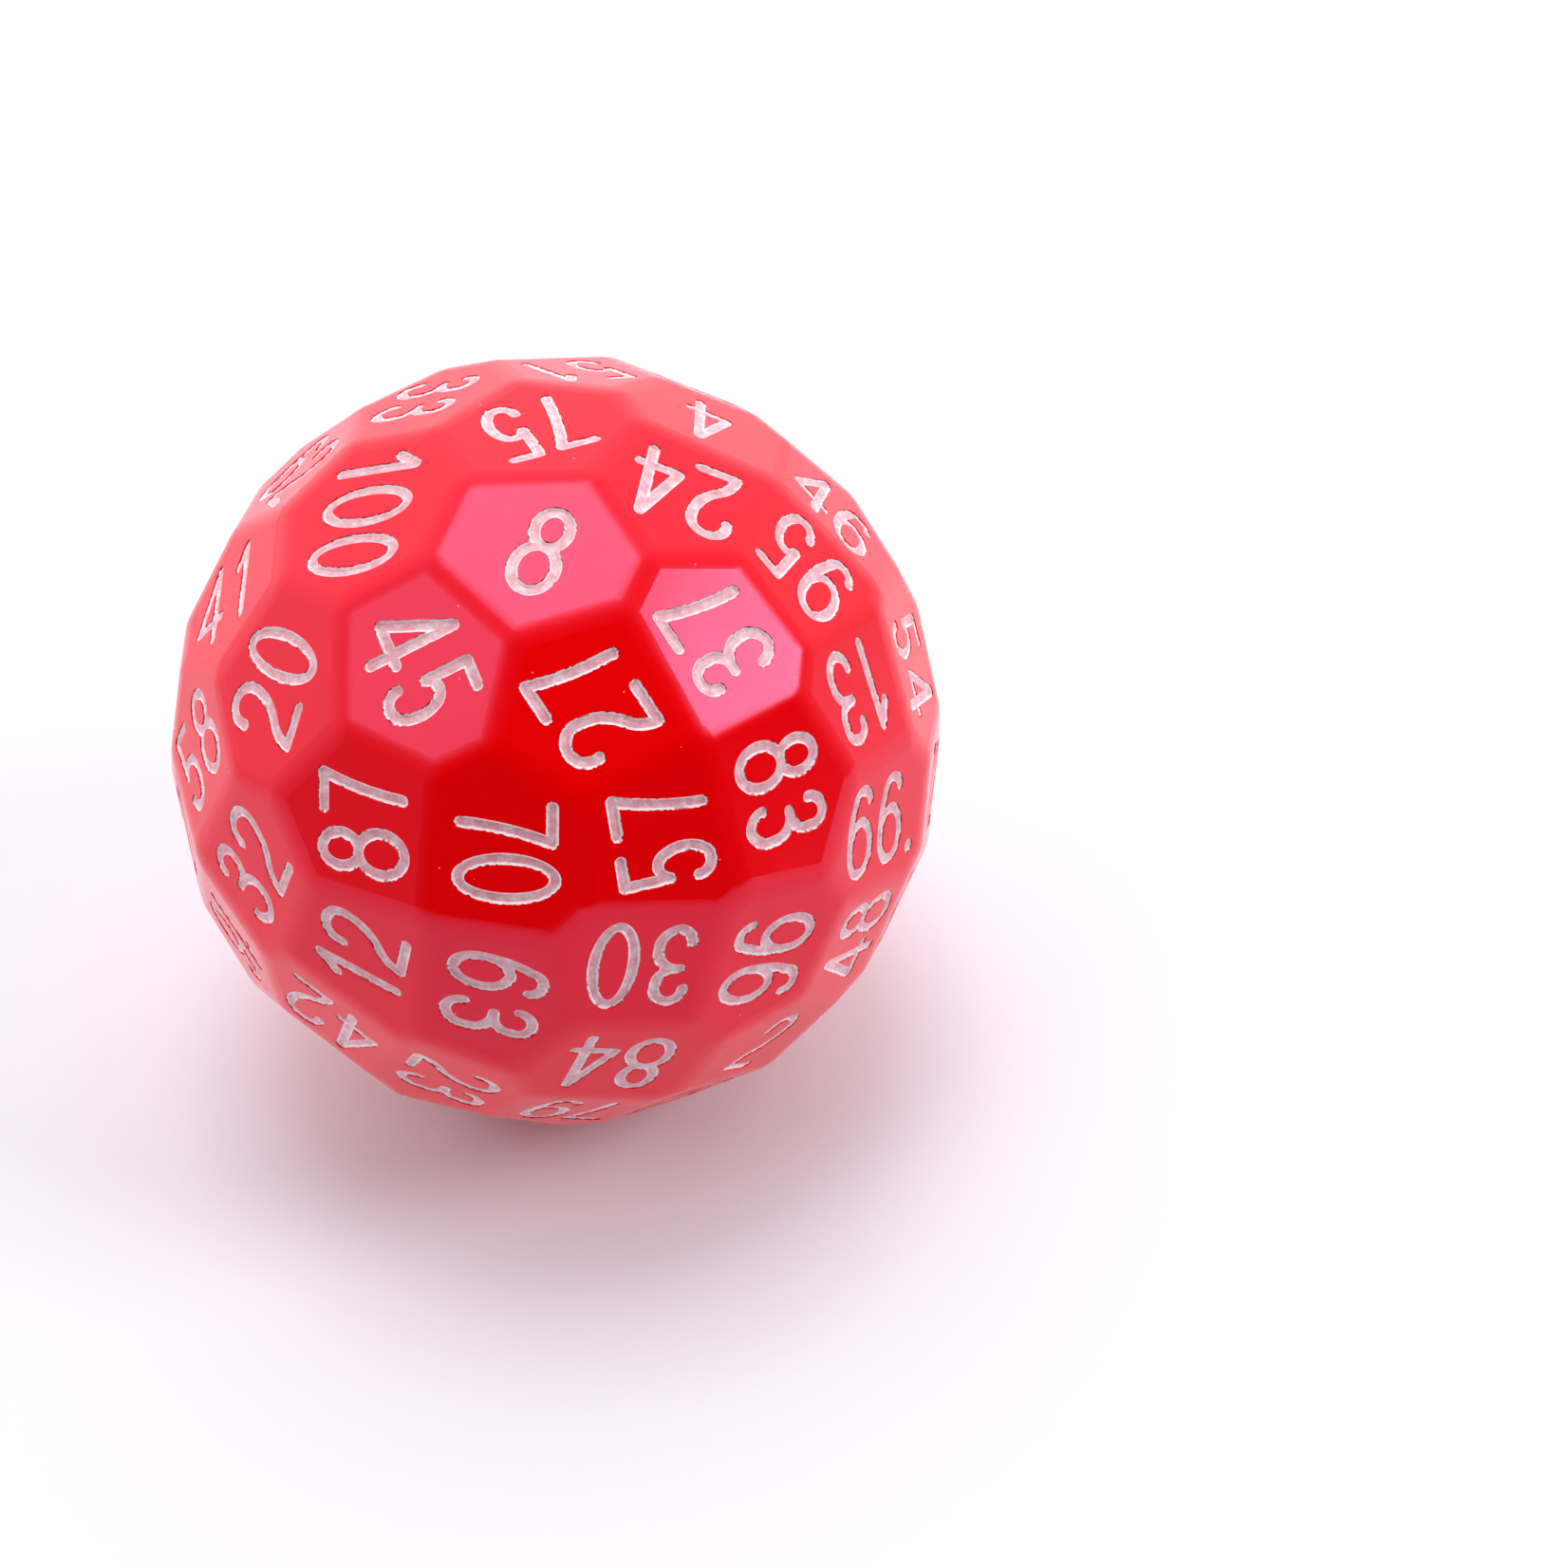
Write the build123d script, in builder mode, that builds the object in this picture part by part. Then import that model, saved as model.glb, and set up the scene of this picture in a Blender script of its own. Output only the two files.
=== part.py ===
from build123d import *

import os
from math import radians, sqrt, tan

# A one-hundred-sided die. A red acrylic outer shot is moulded over a plain core
# ball. Its hundred flat facets all touch one sphere, every edge is rounded by
# tumbling, and each facet carries an engraved number filled with white paint.
# The origin is the die's centre. The facet on top faces +Z and the die rests on
# the facet opposite to it. All sizes are in millimetres, all angles in degrees.

# Body
ACROSS_FACETS = 45.0  # between any two opposite facets
EDGE_RADIUS = 3.4  # on every edge and corner
CORE_DIAMETER = 28.0  # the ball that the outer shot is moulded over

# Numbers
STROKE = 0.65  # width of the round-ended engraving
ENGRAVING_DEPTH = 0.35
PAINT_RECESS = 0.12  # from the facet down to the dried paint
NUMBER_OVERRUN = 0.8  # of a two-digit number past the smallest flat's inscribed circle
DIGIT_GAP = 0.45  # between neighbouring digits
DIGIT_SLENDERNESS = 0.51  # width of a digit over its height
NARROW_DIGIT_SAVING = 0.45  # of a digit's width, on a 1 and a 7
DOT_DIAMETER = 0.85  # marks which way up 6, 9 and their like are read

# Facet layout. The facets lie on a pole, on seven rings of seven round it and
# on the opposite of each of these, where the numbers make up 101.
RING_COPIES = 7
PAIR_SUM = 101
POLE_NUMBER = 100
POLE_NUMBER_TURN = -129.0
HEADING = 28.0  # of the whole die about the vertical

# Each ring: angle from the pole, azimuth of its first facet, turn of its
# numbers from the ring's direction, and the numbers in order.
RINGS = (
    (26.1, 0.0, 179, (75, 33, 62, 41, 20, 45, 8)),
    (43.1, 26.5, 167, (51, 10, 67, 58, 87, 27, 24)),
    (51.8, -1.1, 151, (4, 92, 3, 25, 32, 70, 37)),
    (61.8, 18.9, 150, (61, 49, 86, 21, 12, 57, 95)),
    (70.5, 37.1, -36, (36, 99, 29, 16, 63, 83, 46)),
    (75.6, 6.3, -129, (82, 22, 53, 94, 42, 30, 13)),
    (88.9, 19.8, -46, (73, 17, 35, 11, 23, 96, 54)),
)
TURNED_FURTHER = {45: 180, 8: 180, 70: 180, 84: 180, 79: 90, 2: -12}
OFF_CENTRE = {  # how far across and up a number stands from its facet's middle
    20: (0, 0.6),
    32: (-0.2, 0.3),
    33: (-0.1, -0.5),
    41: (-0.7, 0.3),
    42: (-0.1, 0.5),
    45: (-0.4, 0),
    57: (0, -0.3),
    58: (-0.1, 0.3),
    75: (0.2, -0.3),
    95: (0.1, -0.4),
    100: (-0.3, -0.2),
}
DOTTED = (6, 9, 66, 68, 86, 89, 98, 99)

# ---------------------------------------------------------------- facet layout

INRADIUS = ACROSS_FACETS / 2
TOP_FACET_TILT = RINGS[0][0]  # brings the first facet of the first ring on top
UP = Vector(0, 0, 1)
SIDEWAYS = Vector(0, 1, 0)


def placed(vector, polar, azimuth):
    """A vector given at the pole, carried to a facet of the die as it rests."""
    on_ring = vector.rotate(Axis.Y, polar).rotate(Axis.Z, azimuth)
    return on_ring.rotate(Axis.Y, -TOP_FACET_TILT).rotate(Axis.Z, HEADING)


def facet_pair(number, polar, azimuth, turn):
    """The outward normal and the text direction of a facet and its opposite."""
    normal = placed(UP, polar, azimuth)
    text_up = placed(SIDEWAYS.rotate(Axis.Z, turn), polar, azimuth)
    pair = {number: (normal, text_up), PAIR_SUM - number: (normal * -1, text_up * -1)}
    for value, (outward, upright) in pair.items():
        extra = TURNED_FURTHER.get(value, 0)
        pair[value] = (outward, upright.rotate(Axis((0, 0, 0), outward), extra))
    return pair


facets = facet_pair(POLE_NUMBER, 0, 0, POLE_NUMBER_TURN)
for ring_polar, ring_azimuth, ring_turn, ring_numbers in RINGS:
    for place, ring_number in enumerate(ring_numbers):
        facet_azimuth = ring_azimuth + place * 360 / RING_COPIES
        facets |= facet_pair(ring_number, ring_polar, facet_azimuth, ring_turn)


def facet_plane(number, height):
    """The plane over a facet, height above the die's centre, with the text upright."""
    normal, text_up = facets[number]
    return Plane(origin=normal * height, x_dir=text_up.cross(normal), z_dir=normal)


# The numbers are as tall as the smallest flat allows: the corner of a two-digit
# number reaches NUMBER_OVERRUN past the circle inscribed in it.
normals = [normal for normal, text_up in facets.values()]
closest = min(one.get_angle(other) for one in normals for other in normals if one is not other)
FLAT_RADIUS = (INRADIUS - EDGE_RADIUS) * tan(radians(closest / 2))
CUT = STROKE / 2
corner_reach = FLAT_RADIUS + NUMBER_OVERRUN - CUT


def digit_height_for(reach):
    """The height at which the centreline corner of a two-digit number is at reach."""
    spread = 2 * DIGIT_SLENDERNESS
    inset = DIGIT_GAP - STROKE
    square_term = spread**2 + 1
    plain_term = 2 * spread * inset - 2 * STROKE
    constant = inset**2 + STROKE**2 - 4 * reach**2
    return (-plain_term + sqrt(plain_term**2 - 4 * square_term * constant)) / (2 * square_term)


DIGIT_HEIGHT = digit_height_for(corner_reach)
DIGIT_WIDTH = DIGIT_HEIGHT * DIGIT_SLENDERNESS

# ---------------------------------------------------------------------- digits

# Half the width and half the height of a digit's centreline. The lines of each
# digit are given in these, from the digit's middle.
HALF_WIDTH = DIGIT_WIDTH / 2 - CUT
HALF_HEIGHT = DIGIT_HEIGHT / 2 - CUT


def at(across, up):
    """A point of the digit being drawn, in half widths and half heights."""
    return (across * HALF_WIDTH, up * HALF_HEIGHT)


def loop(middle, half_height, half_width=1.0):
    """A closed oval stroke in the digit being drawn, in the same units."""
    across, up = at(half_width, half_height)
    with Locations(at(0, middle)):
        Ellipse(across + CUT, up + CUT)
        Ellipse(across - CUT, up - CUT, mode=Mode.SUBTRACT)


def arc(start, middle, end):
    """A round line through three points of the digit being drawn."""
    return ThreePointArc(at(*start), at(*middle), at(*end))


def strokes(lines):
    """A round-ended stroke along each line of the digit being drawn."""
    for edge in lines.edges():
        SlotArc(edge, STROKE)


with BuildSketch() as zero:
    loop(0, 1.05, 1.02)

with BuildLine() as one_lines:
    Line(at(0.45, -1), at(0.45, 1))
    Line(at(0.45, 1), at(-0.3, 0.5))
with BuildSketch() as one:
    strokes(one_lines)

with BuildLine() as two_lines:
    arc((-0.95, 0.5), (0, 1), (0.93, 0.45))
    arc((0.93, 0.45), (0.5, -0.08), (-0.15, -0.38))
    arc((-0.15, -0.38), (-0.72, -0.65), (-1, -1))
    Line(at(-1, -1), at(1, -1))
with BuildSketch() as two:
    strokes(two_lines)

with BuildLine() as three_lines:
    arc((-0.76, 0.66), (-0.05, 1), (0.72, 0.58))
    arc((0.72, 0.58), (0.42, 0.2), (-0.15, 0.1))
    Line(at(-0.15, 0.1), at(-0.4, 0.1))
    arc((-0.15, 0.1), (0.52, -0.04), (0.84, -0.45))
    arc((0.84, -0.45), (0.5, -0.88), (-0.05, -1))
    arc((-0.05, -1), (-0.5, -0.91), (-0.82, -0.62))
with BuildSketch() as three:
    strokes(three_lines)

with BuildLine() as four_lines:
    Line(at(0.5, -1.02), at(0.5, 1.02))
    Line(at(0.5, 1.02), at(-1.08, -0.5))
    Line(at(-1.08, -0.5), at(1.08, -0.5))
with BuildSketch() as four:
    strokes(four_lines)

with BuildLine() as five_lines:
    arc((-0.66, -0.02), (0, 0.2), (0.6, 0.02))
    arc((0.6, 0.02), (0.84, -0.4), (0.6, -0.82))
    arc((0.6, -0.82), (-0.1, -1), (-0.8, -0.68))
    Line(at(-0.66, -0.02), at(-0.66, 1))
    Line(at(-0.66, 1), at(0.7, 1))
with BuildSketch() as five:
    strokes(five_lines)

with BuildLine() as six_lines:
    arc((0.85, 0.75), (0.2, 1.02), (-0.6, 0.72))
    arc((-0.6, 0.72), (-0.93, 0.2), (-0.97, -0.45))
with BuildSketch() as six:
    loop(-0.38, 0.64)
    strokes(six_lines)

with BuildLine() as seven_lines:
    Line(at(-0.84, 0.98), at(0.96, 0.98))
    arc((0.96, 0.98), (0.34, 0), (0.04, -0.98))
with BuildSketch() as seven:
    strokes(seven_lines)

with BuildSketch() as eight:
    loop(0.56, 0.46, 0.86)
    loop(-0.45, 0.57, 1.05)

with BuildSketch() as nine:
    add(six.sketch, rotation=180)

with BuildSketch() as dot:
    with Locations((0, (DOT_DIAMETER - DIGIT_HEIGHT) / 2)):
        Circle(DOT_DIAMETER / 2)

# Each character and the width it takes in a number: a 1 and a 7 leave room, so
# they stand closer to their neighbours.
GLYPHS = {
    "0": (zero.sketch, DIGIT_WIDTH),
    "1": (one.sketch, DIGIT_WIDTH - NARROW_DIGIT_SAVING),
    "2": (two.sketch, DIGIT_WIDTH),
    "3": (three.sketch, DIGIT_WIDTH),
    "4": (four.sketch, DIGIT_WIDTH),
    "5": (five.sketch, DIGIT_WIDTH),
    "6": (six.sketch, DIGIT_WIDTH),
    "7": (seven.sketch, DIGIT_WIDTH - NARROW_DIGIT_SAVING),
    "8": (eight.sketch, DIGIT_WIDTH),
    "9": (nine.sketch, DIGIT_WIDTH),
    ".": (dot.sketch, DOT_DIAMETER),
}


def draw_number(number):
    """The number's outline in the sketch being drawn."""
    text = f"{number}." if number in DOTTED else f"{number}"
    widths = [GLYPHS[character][1] for character in text]
    across, raised = OFF_CENTRE.get(number, (0, 0))
    left = across - (sum(widths) + DIGIT_GAP * (len(text) - 1)) / 2
    for character, width in zip(text, widths):
        with Locations((left + width / 2, raised)):
            add(GLYPHS[character][0])
        left += width + DIGIT_GAP


# ------------------------------------------------------------------------ body

# The core ball, moulded first so that the thick die sets without sinking.
with BuildPart() as core:
    Sphere(CORE_DIAMETER / 2)

# The outer shot. Its facets are cut EDGE_RADIUS deep, and growing the blank
# back by the same amount leaves flat facets joined by round edges.
with BuildPart() as outer_body:
    Box(2 * ACROSS_FACETS, 2 * ACROSS_FACETS, 2 * ACROSS_FACETS)
    for facet_number in facets:
        split(bisect_by=facet_plane(facet_number, INRADIUS - EDGE_RADIUS), keep=Keep.BOTTOM)
    offset(amount=EDGE_RADIUS, kind=Kind.ARC)
    add(core.part, mode=Mode.SUBTRACT)
    for facet_number in facets:
        with BuildSketch(facet_plane(facet_number, INRADIUS + ENGRAVING_DEPTH)):
            draw_number(facet_number)
    extrude(amount=-2 * ENGRAVING_DEPTH, mode=Mode.SUBTRACT)

# ----------------------------------------------------------------------- paint


def painted_pair(number):
    """The paint in a facet's number and in the number opposite to it."""
    with BuildPart() as paint:
        for facet_number in (number, PAIR_SUM - number):
            with BuildSketch(facet_plane(facet_number, INRADIUS - ENGRAVING_DEPTH)):
                draw_number(facet_number)
        extrude(amount=ENGRAVING_DEPTH - PAINT_RECESS)
    return paint.part


# ---------------------------------------------------------------------- export

core.part.label = "core"
outer_body.part.label = "outer_body"
pieces = [core.part, outer_body.part]
for low_number in range(1, PAIR_SUM // 2 + 1):
    pair_paint = painted_pair(low_number)
    pair_paint.label = f"paint_{low_number}_and_{PAIR_SUM - low_number}"
    pieces.append(pair_paint)

os.makedirs("parts", exist_ok=True)
for piece in pieces:
    export_step(piece, f"parts/{piece.label}.step")
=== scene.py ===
from math import pi, radians

import bmesh
import bpy
from mathutils import Matrix, Vector, noise


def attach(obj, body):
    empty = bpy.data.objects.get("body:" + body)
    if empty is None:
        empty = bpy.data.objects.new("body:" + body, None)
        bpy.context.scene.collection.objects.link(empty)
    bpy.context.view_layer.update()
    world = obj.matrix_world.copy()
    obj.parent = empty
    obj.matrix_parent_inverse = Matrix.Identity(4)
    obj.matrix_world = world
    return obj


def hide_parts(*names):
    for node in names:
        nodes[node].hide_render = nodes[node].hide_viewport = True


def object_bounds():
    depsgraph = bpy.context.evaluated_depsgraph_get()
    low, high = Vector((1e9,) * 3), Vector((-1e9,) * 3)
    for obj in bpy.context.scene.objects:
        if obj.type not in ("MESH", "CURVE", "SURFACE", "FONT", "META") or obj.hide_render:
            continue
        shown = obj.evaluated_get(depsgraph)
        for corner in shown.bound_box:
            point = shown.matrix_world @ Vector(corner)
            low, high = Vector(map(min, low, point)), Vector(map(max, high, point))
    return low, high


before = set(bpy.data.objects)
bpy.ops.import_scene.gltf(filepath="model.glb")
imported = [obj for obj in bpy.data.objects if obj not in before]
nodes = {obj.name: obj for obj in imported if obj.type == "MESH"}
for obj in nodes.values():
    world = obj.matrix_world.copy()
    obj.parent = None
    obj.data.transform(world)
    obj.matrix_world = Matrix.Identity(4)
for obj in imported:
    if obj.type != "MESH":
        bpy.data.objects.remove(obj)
cad_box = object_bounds()
MM = 0.001

# ---------------------------------------------------------------- the core
# The ball of red acrylic that is moulded first. The outer shot closes round
# it, so it is never seen, and it keeps the plain finish of its mould.


def linear(hex_colour):
    """A hex sRGB colour as linear RGBA."""
    channels = [int(hex_colour[i : i + 2], 16) / 255 for i in (1, 3, 5)]
    return [c / 12.92 if c <= 0.04045 else ((c + 0.055) / 1.055) ** 2.4 for c in channels] + [1.0]


def add_node(material, kind, settings=None, links=None, values=None):
    """Adds a shader node: settings on the node, values on its sockets, links into them."""
    tree = material.node_tree
    node = tree.nodes.new(kind)
    for name, value in (settings or {}).items():
        setattr(node, name, value)
    for socket, value in (values or {}).items():
        node.inputs[socket].default_value = value
    for socket, source in (links or {}).items():
        tree.links.new(source, node.inputs[socket])
    return node


def new_material(name):
    """A material with its default shader taken out, and the output left."""
    material = bpy.data.materials.new(name)
    material.use_nodes = True
    for node in list(material.node_tree.nodes):
        if node.type != "OUTPUT_MATERIAL":
            material.node_tree.nodes.remove(node)
    return material


def finish_material(material, shader):
    """Links a shader to the material's output."""
    output = next(n for n in material.node_tree.nodes if n.type == "OUTPUT_MATERIAL")
    material.node_tree.links.new(shader.outputs[0], output.inputs["Surface"])
    return material


ACRYLIC_IOR = 1.49
core_acrylic = new_material("moulded_acrylic_core")
core_place = add_node(core_acrylic, "ShaderNodeTexCoord")
core_flow = add_node(
    core_acrylic,
    "ShaderNodeTexNoise",
    values={"Scale": 1 / (4 * MM), "Detail": 3.0},
    links={"Vector": core_place.outputs["Object"]},
)
core_colour = add_node(
    core_acrylic,
    "ShaderNodeMix",
    settings={"data_type": "RGBA"},
    values={6: linear("#c80004"), 7: linear("#e00008")},
    links={0: core_flow.outputs[0]},
)
core_shader = add_node(
    core_acrylic,
    "ShaderNodeBsdfPrincipled",
    values={"Roughness": 0.35, "IOR": ACRYLIC_IOR},
    links={"Base Color": core_colour.outputs[2]},
)
nodes["core"].data.materials[0] = finish_material(core_acrylic, core_shader)

# ---------------------------------------------------------------- the outer body
# The outer shot of opaque red acrylic, moulded, then tumbled until it shines.
# Tumbling rounds every edge and leaves the flats faintly wavy, with hairline
# scratches. It stands as it comes from the CAD model, and only its finish is new.

WAVE_LENGTH = 2.5 * MM
SCRATCH_SPACING = 3.0 * MM
SCRATCH_LENGTH = 9.0 * MM
DUST_SPACING = 1.6 * MM
DUST_RADIUS = 0.05 * MM  # coarser than real dust, so that it shows

# The gloss of polished acrylic over a deep red that hides the core: a sharp but
# slightly soft reflection, dulled only along the scratches and on the dust.
body_acrylic = new_material("tumbled_acrylic_red")
body_place = add_node(body_acrylic, "ShaderNodeTexCoord")
body_flow = add_node(
    body_acrylic,
    "ShaderNodeTexNoise",
    links={"Vector": body_place.outputs["Object"]},
    values={"Scale": 1 / (6 * MM), "Detail": 3.0},
)
body_red = add_node(
    body_acrylic,
    "ShaderNodeMix",
    {"data_type": "RGBA"},
    links={0: body_flow.outputs[0]},
    values={6: linear("#f20003"), 7: linear("#fb0004")},
)
dust_cells = add_node(
    body_acrylic,
    "ShaderNodeTexVoronoi",
    links={"Vector": body_place.outputs["Object"]},
    values={"Scale": 1 / DUST_SPACING},
)
dust = add_node(
    body_acrylic,
    "ShaderNodeMapRange",
    links={"Value": dust_cells.outputs["Distance"]},
    values={"From Min": 0.6 * DUST_RADIUS / DUST_SPACING, "From Max": DUST_RADIUS / DUST_SPACING,
            "To Min": 0.7, "To Max": 0.0},
)
body_colour = add_node(
    body_acrylic,
    "ShaderNodeMix",
    {"data_type": "RGBA"},
    links={0: dust.outputs[0], 6: body_red.outputs[2]},
    values={7: linear("#ffc4cc")},
)
scratch_frame = add_node(
    body_acrylic,
    "ShaderNodeMapping",
    links={"Vector": body_place.outputs["Object"]},
    values={"Rotation": (0.5, 0.9, 0.3),
            "Scale": (1 / SCRATCH_LENGTH, 1 / SCRATCH_SPACING, 1 / SCRATCH_SPACING)},
)
scratch_field = add_node(
    body_acrylic,
    "ShaderNodeTexNoise",
    links={"Vector": scratch_frame.outputs[0]},
    values={"Scale": 1.0, "Detail": 2.0, "Distortion": 0.4},
)
# A scratch runs where the field passes through its middle value.
scratch_offset = add_node(
    body_acrylic,
    "ShaderNodeMath",
    {"operation": "COMPARE"},
    links={0: scratch_field.outputs[0]},
    values={1: 0.5, 2: 0.003},
)
body_wave = add_node(
    body_acrylic,
    "ShaderNodeTexNoise",
    links={"Vector": body_place.outputs["Object"]},
    values={"Scale": 1 / WAVE_LENGTH, "Detail": 2.0},
)
wave_bump = add_node(
    body_acrylic,
    "ShaderNodeBump",
    links={"Height": body_wave.outputs[0]},
    values={"Strength": 0.4, "Distance": 0.02 * MM},
)
scratch_bump = add_node(
    body_acrylic,
    "ShaderNodeBump",
    {"invert": True},
    links={"Height": scratch_offset.outputs[0], "Normal": wave_bump.outputs[0]},
    values={"Strength": 0.12, "Distance": 0.01 * MM},
)
body_roughness = add_node(
    body_acrylic,
    "ShaderNodeMapRange",
    links={"Value": body_wave.outputs[0]},
    values={"To Min": 0.14, "To Max": 0.22},
)
body_shader = add_node(
    body_acrylic,
    "ShaderNodeBsdfPrincipled",
    links={
        "Base Color": body_colour.outputs[2],
        "Roughness": body_roughness.outputs[0],
        "Normal": scratch_bump.outputs[0],
    },
    values={"IOR": ACRYLIC_IOR, "Specular Tint": (1.0, 0.52, 1.0, 1.0)},
)
nodes["outer_body"].data.materials[0] = finish_material(body_acrylic, body_shader)

# ---------------------------------------------------------------- the paint
# White enamel wiped into the engraving and left to dry. It shrinks as it dries,
# so it clings to the walls in a bright, uneven rim and sinks in the middle,
# where it is thin enough for the red to tint it.

RIM_WIDTH = 0.15 * MM
RIM_CLIMB = 0.10 * MM  # of the paint up the wall, nearly to the facet
RIM_UNEVENNESS = 0.10 * MM
RIM_RETREAT = 0.8  # of the rim's width, where the paint has come off the wall
RIM_PATCH = 0.25 * MM  # length of one rise or dip along the rim
PAINT_SAG = 0.05 * MM
RIM_STEP = 0.16 * MM  # longest edge along the rim
FACING_OUT = 0.9  # cosine of the widest angle from the way out of the die
PAINT_PATCH = 0.5 * MM  # where it dried thicker or thinner

filling_enamel = new_material("wiped_in_white_enamel")
paint_place = add_node(filling_enamel, "ShaderNodeTexCoord")
paint_rim = add_node(filling_enamel, "ShaderNodeAttribute", {"attribute_name": "rim"})
paint_patches = add_node(
    filling_enamel,
    "ShaderNodeTexNoise",
    links={"Vector": paint_place.outputs["Object"]},
    values={"Scale": 1 / PAINT_PATCH, "Detail": 5.0, "Roughness": 0.65},
)
# How much paint there is: more towards the rim, and patchy everywhere.
paint_amount = add_node(
    filling_enamel,
    "ShaderNodeMath",
    {"operation": "MULTIPLY_ADD"},
    links={0: paint_rim.outputs["Fac"], 2: paint_patches.outputs[0]},
    values={1: 0.5},
)
paint_cover = add_node(
    filling_enamel,
    "ShaderNodeMapRange",
    {"interpolation_type": "SMOOTHSTEP"},
    links={"Value": paint_amount.outputs[0]},
    values={"From Min": 0.34, "From Max": 0.84},
)
paint_colour = add_node(
    filling_enamel,
    "ShaderNodeMix",
    {"data_type": "RGBA"},
    links={0: paint_cover.outputs[0]},
    values={6: linear("#eea6b2"), 7: linear("#fff8fa")},
)
paint_bump = add_node(
    filling_enamel,
    "ShaderNodeBump",
    links={"Height": paint_patches.outputs[0]},
    values={"Strength": 0.7, "Distance": 0.06 * MM},
)
paint_shader = add_node(
    filling_enamel,
    "ShaderNodeBsdfPrincipled",
    links={"Base Color": paint_colour.outputs[2], "Normal": paint_bump.outputs[0]},
    values={"Roughness": 0.4, "IOR": 1.5},
)
finish_material(filling_enamel, paint_shader)


def top_faces(mesh):
    """The faces of the paint that look out of the die."""
    outwards = ((f, f.calc_center_median().normalized()) for f in mesh.faces)
    return [f for f, outward in outwards if f.normal.dot(outward) > FACING_OUT]


def sunken_filling(node):
    """The paint of a node with its rim drawn up the walls and its middle sunk."""
    mesh = bmesh.new()
    mesh.from_mesh(node.data)
    rim_level = mesh.verts.layers.float.new("rim")
    bmesh.ops.remove_doubles(mesh, verts=mesh.verts, dist=1e-7)
    top = top_faces(mesh)
    while True:
        on_top = set(top)
        outline = [e for e in mesh.edges if len(on_top.intersection(e.link_faces)) == 1]
        long_edges = [e for e in outline if e.calc_length() > RIM_STEP]
        if not long_edges:
            break
        bmesh.ops.subdivide_edges(mesh, edges=long_edges, cuts=1)
        mesh.normal_update()
        top = top_faces(mesh)
    rim = bmesh.ops.inset_region(
        mesh, faces=top, thickness=RIM_WIDTH, use_even_offset=True, use_boundary=True
    )
    middle = {v: f.normal.copy() for f in top for v in f.verts}
    edge = {}
    for face in rim["faces"]:
        inner = next(v for v in face.verts if v in middle)
        edge |= {v: (middle[inner], inner.co.copy()) for v in face.verts if v not in middle}
    for vert, (upward, inwards) in edge.items():
        vert[rim_level] = 1
        dip = (noise.noise(vert.co / RIM_PATCH) + 1) / 2 * RIM_UNEVENNESS
        gap = max(0, noise.noise(vert.co / RIM_PATCH * 1.7)) * RIM_RETREAT
        vert.co = vert.co.lerp(inwards, gap) + upward * (RIM_CLIMB - dip)
    for vert, upward in middle.items():
        vert.co -= upward * PAINT_SAG
    bmesh.ops.triangulate(mesh, faces=mesh.faces)
    data = bpy.data.meshes.new(f"{node.name}_filling")
    mesh.to_mesh(data)
    mesh.free()
    data.materials.append(filling_enamel)
    filling = bpy.data.objects.new(data.name, data)
    bpy.context.collection.objects.link(filling)
    return filling


for name, node in nodes.items():
    if name.startswith("paint_"):
        filling = sunken_filling(node)
        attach(filling, "root")
        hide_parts(name)

# ---------------------------------------------------------------- table, light and camera

# The die stands on a wide, matt white table under three softboxes. One hangs
# almost overhead, and the other two stand to the right and to the left.

TABLE_SIZE = 4.0
bpy.ops.mesh.primitive_plane_add(size=TABLE_SIZE, location=(0, 0, cad_box[0][2]))
table = bpy.context.object
table.name = "table"
table_white = new_material("matt_white_table")
table_shader = add_node(
    table_white,
    "ShaderNodeBsdfPrincipled",
    values={"Base Color": linear("#eff3f9"), "Roughness": 0.8},
)
table.data.materials.append(finish_material(table_white, table_shader))


SOFTBOX_DISTANCE = 0.8
SOFTBOX_COLOUR = (0.99, 0.97, 1)


def softbox(name, azimuth, elevation, size, radiance):
    """A square softbox that faces the die from a direction, of an even radiance."""
    light = bpy.data.lights.new(name, "AREA")
    light.shape = "SQUARE"
    light.size = size
    light.color = SOFTBOX_COLOUR
    light.energy = radiance * pi * size**2
    lamp = bpy.data.objects.new(name, light)
    turn = Matrix.Rotation(radians(-azimuth), 4, "Z") @ Matrix.Rotation(radians(elevation), 4, "X")
    place = turn @ Vector((0, SOFTBOX_DISTANCE, 0))
    lamp.matrix_world = Matrix.Translation(place) @ place.to_track_quat("Z", "Y").to_matrix().to_4x4()
    bpy.context.collection.objects.link(lamp)


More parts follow.
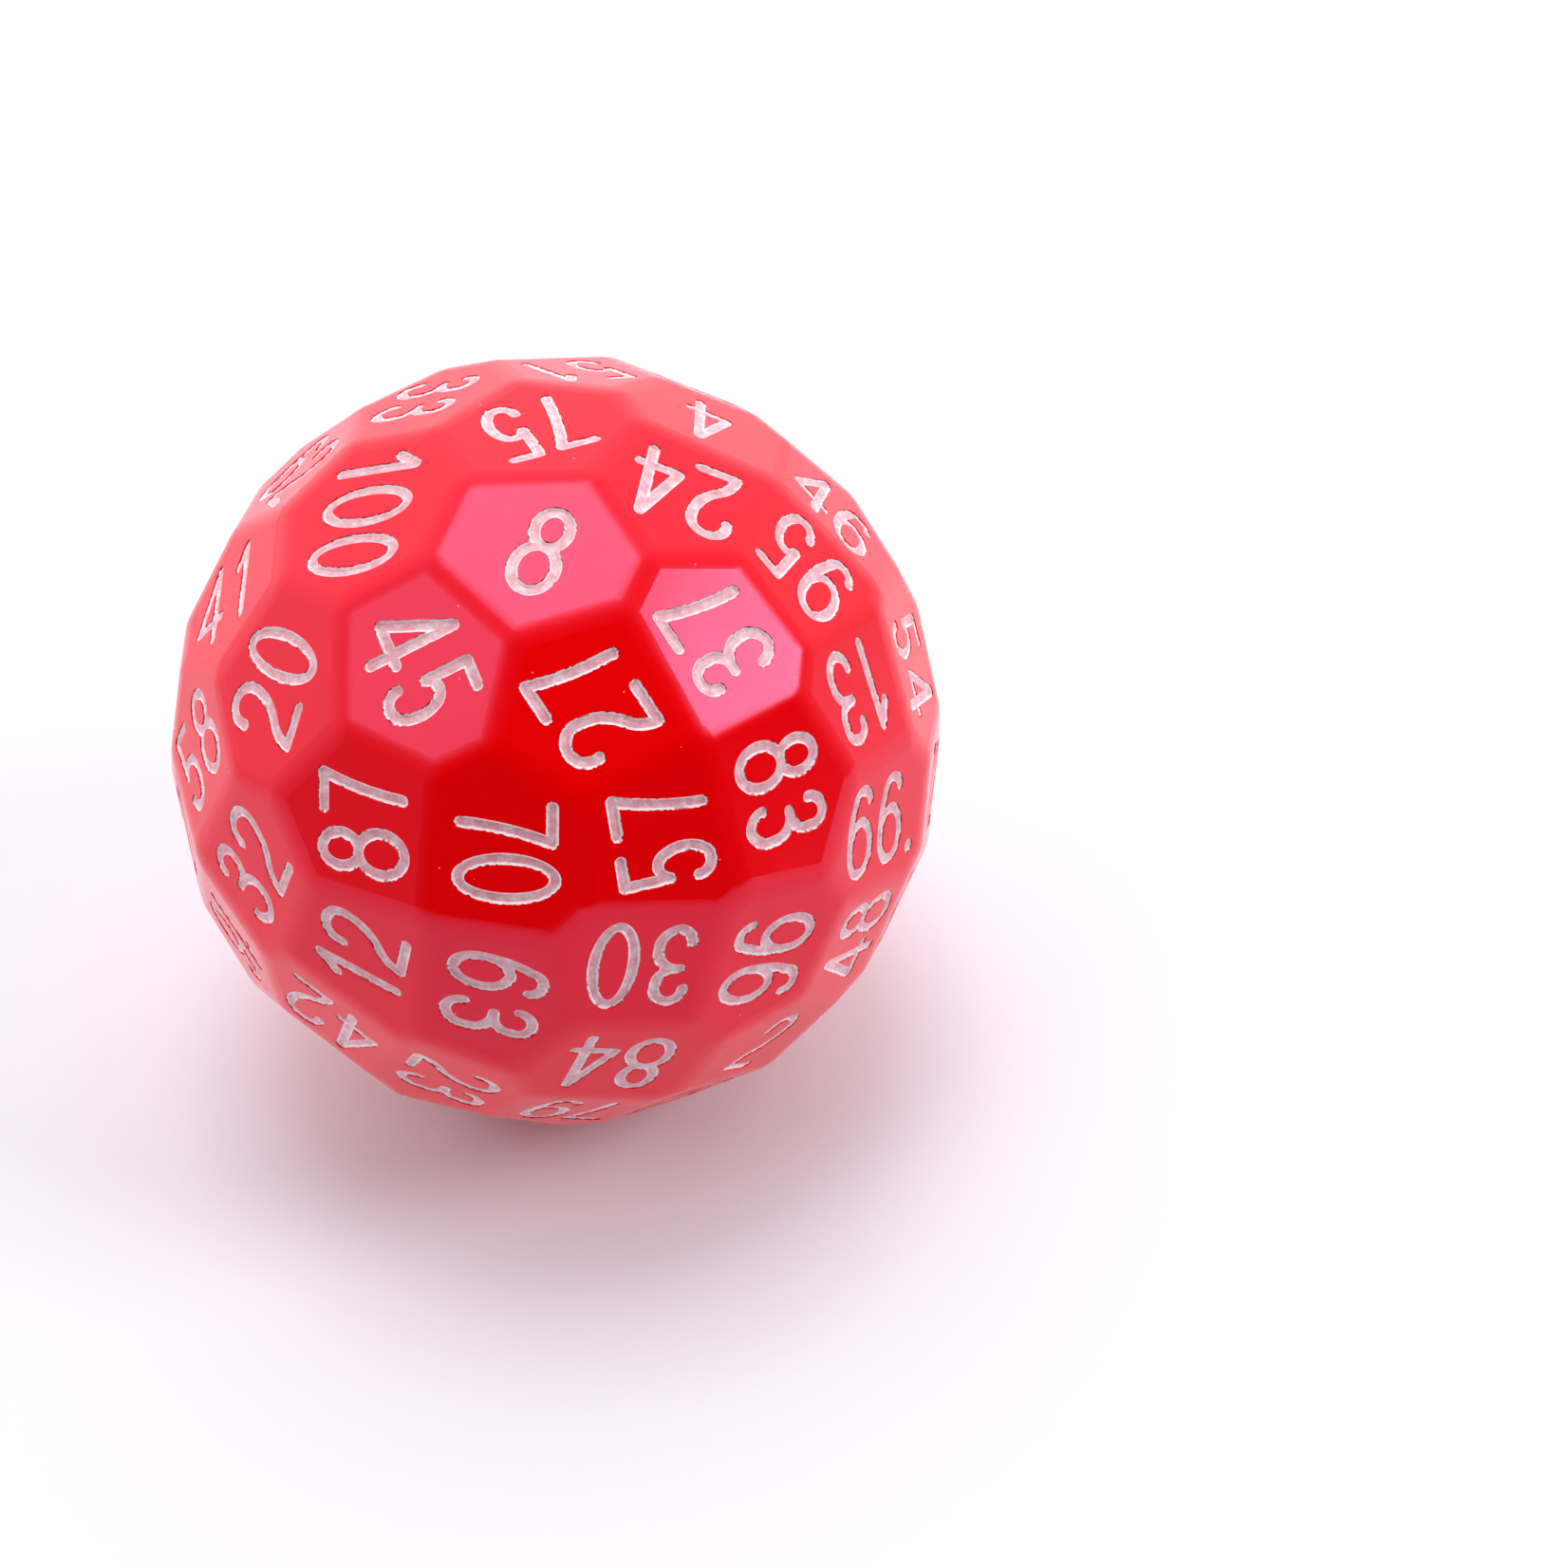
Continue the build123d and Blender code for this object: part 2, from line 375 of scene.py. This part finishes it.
softbox("overhead_softbox", -20, 81, 0.34, 5.0)
softbox("right_softbox", 95, 36, 0.28, 10.0)
softbox("left_softbox", -123, 48, 0.28, 2.3)

# The room is white behind the die and to its left, and dark behind the camera
# and to the right of it.
ROOM_DARK_SIDE = (0.4, -1.0, 0.0)  # the way to the dark, in the table's frame
studio = bpy.data.worlds.new("studio")
bpy.context.scene.world = studio
studio.use_nodes = True
background = studio.node_tree.nodes["Background"]
background.inputs["Color"].default_value = (0.99, 0.95, 1, 1)
room_direction = add_node(studio, "ShaderNodeTexCoord")
darkness = add_node(
    studio,
    "ShaderNodeVectorMath",
    {"operation": "DOT_PRODUCT"},
    links={0: room_direction.outputs["Generated"]},
    values={1: ROOM_DARK_SIDE},
)
room_light = add_node(
    studio,
    "ShaderNodeMapRange",
    {"interpolation_type": "SMOOTHSTEP"},
    links={"Value": darkness.outputs["Value"]},
    values={"From Min": -0.68, "From Max": 0.72, "To Min": 1.45, "To Max": 0.0},
)
# The wall that the camera sees is plain white all round. The dark side is only
# for what the die and the table reflect.
ray = add_node(studio, "ShaderNodeLightPath")
shown_light = add_node(
    studio,
    "ShaderNodeMix",
    {"data_type": "FLOAT"},
    links={0: ray.outputs["Is Camera Ray"], 2: room_light.outputs[0]},
    values={3: 1.0},
)
studio.node_tree.links.new(shown_light.outputs[0], background.inputs["Strength"])

CAMERA_PLACE = Vector((13.48, -90.02, 83.35)) * MM
CAMERA_HEADING = -1.3
CAMERA_PITCH = 46.2
CAMERA_ROLL = 1.86
camera_data = bpy.data.cameras.new("camera")
camera_data.sensor_width = 36.0
camera_data.lens = 46.4
camera_data.clip_start = 0.01
camera = bpy.data.objects.new("camera", camera_data)
tilt = Matrix.Rotation(radians(CAMERA_PITCH), 4, "X") @ Matrix.Rotation(radians(CAMERA_ROLL), 4, "Z")
heading = Matrix.Rotation(radians(CAMERA_HEADING), 4, "Z")
camera.matrix_world = heading @ Matrix.Translation(CAMERA_PLACE) @ tilt
bpy.context.collection.objects.link(camera)
bpy.context.scene.camera = camera
bpy.context.scene.view_settings.view_transform = "Standard"
